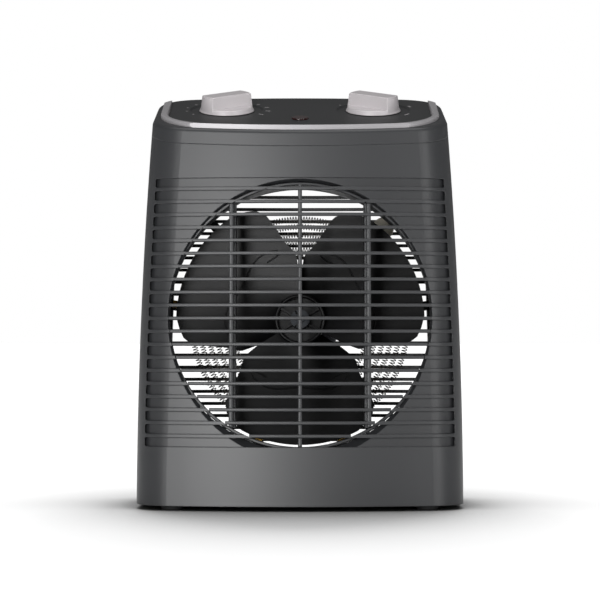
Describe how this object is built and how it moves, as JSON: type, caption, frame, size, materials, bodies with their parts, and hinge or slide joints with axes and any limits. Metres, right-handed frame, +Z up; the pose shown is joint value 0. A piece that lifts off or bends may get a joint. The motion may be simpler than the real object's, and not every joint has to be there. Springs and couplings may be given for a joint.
{
  "type": "ceramic space heater",
  "caption": "Compact upright fan heater: tapered housing, round slatted outlet over an axial fan and a wound element on ceramic bars, and two knobs on a sloping top.",
  "frame": {"origin": "middle of the footprint, on the surface that the feet stand on", "axes": "+X to the right seen from the front, +Y from the outlet to the intake, +Z up"},
  "size_m": [0.204, 0.132, 0.2674],
  "materials": {
    "anthracite_abs": "satin, moulded",
    "panel_black": "satin, moulded",
    "trim_silver": "satin metallised ring",
    "knob_silver": "light silver-grey, moulded",
    "lens_red": "translucent red",
    "fan_black": "glass-filled, moulded",
    "zinc_steel": "zinc plated",
    "lamination": "stamped sheet stack",
    "bronze": "sintered",
    "brass": "stamped",
    "copper": "enamelled winding",
    "resistance_wire": "oxidised coiled wire",
    "steatite": "unglazed ceramic",
    "rubber_black": "matt",
    "phenolic_black": "pressed resin",
    "polyamide_white": "moulded",
    "wire_sleeve": "silicone sleeve",
    "lamp_glass": "clear bulb"
  },
  "bodies": {
    "chassis": {"front_shell": "anthracite_abs", "front_grille": "anthracite_abs", "rear_shell": "anthracite_abs", "rear_grille": "anthracite_abs", "top_cap": "anthracite_abs", "trim_ring": "trim_silver", "control_panel": "panel_black", "base_plate": "anthracite_abs", "feet": "rubber_black", "shell_screws": "zinc_steel", "thermostat_screws": "zinc_steel", "wiring": "wire_sleeve", "thermostat_frame": "zinc_steel", "thermostat_base": "steatite", "thermostat_bimetal": "bronze", "thermostat_contact": "brass", "motor_stator": "lamination", "motor_winding": "copper", "motor_front_bracket": "zinc_steel", "motor_front_bearing": "bronze", "motor_rear_bracket": "zinc_steel", "motor_rear_bearing": "bronze", "motor_bolts": "zinc_steel", "selector_switch": "phenolic_black", "selector_tabs": "brass", "indicator_lens": "lens_red", "indicator_lamp": "lamp_glass", "lamp_holder": "polyamide_white", "motor_mount": "zinc_steel", "mount_screws": "zinc_steel", "element_bars": "steatite", "element_coils": "resistance_wire", "element_tabs": "brass", "thermal_cutout": "steatite", "thermal_fuse": "zinc_steel", "cord_gland": "rubber_black", "cord_saddle": "polyamide_white", "cord_clamp": "polyamide_white", "clamp_screws": "zinc_steel", "terminal_block": "polyamide_white", "terminal_screws": "brass"},
    "fan": {"fan_impeller": "fan_black", "fan_clip": "zinc_steel", "motor_shaft": "zinc_steel", "motor_rotor": "lamination"},
    "thermostat_dial": {"thermostat_knob": "knob_silver", "thermostat_spindle": "brass"},
    "selector_dial": {"selector_knob": "knob_silver", "selector_spindle": "polyamide_white"}
  },
  "joints": [
    {"name": "fan_spin", "type": "hinge", "parent": "chassis", "child": "fan", "pos_m": [0, -0.05571, 0.1206], "axis": [0, 0.9962, -0.0872], "continuous": true},
    {"name": "thermostat_turn", "type": "hinge", "parent": "chassis", "child": "thermostat_dial", "pos_m": [-0.0475, 0.02, 0.25446], "axis": [0, -0.284, 0.9588], "range_deg": [-250, 10]},
    {"name": "selector_turn", "type": "hinge", "parent": "chassis", "child": "selector_dial", "pos_m": [0.0475, 0.02, 0.25446], "axis": [0, -0.284, 0.9588], "range_deg": [-180, 0]}
  ]
}
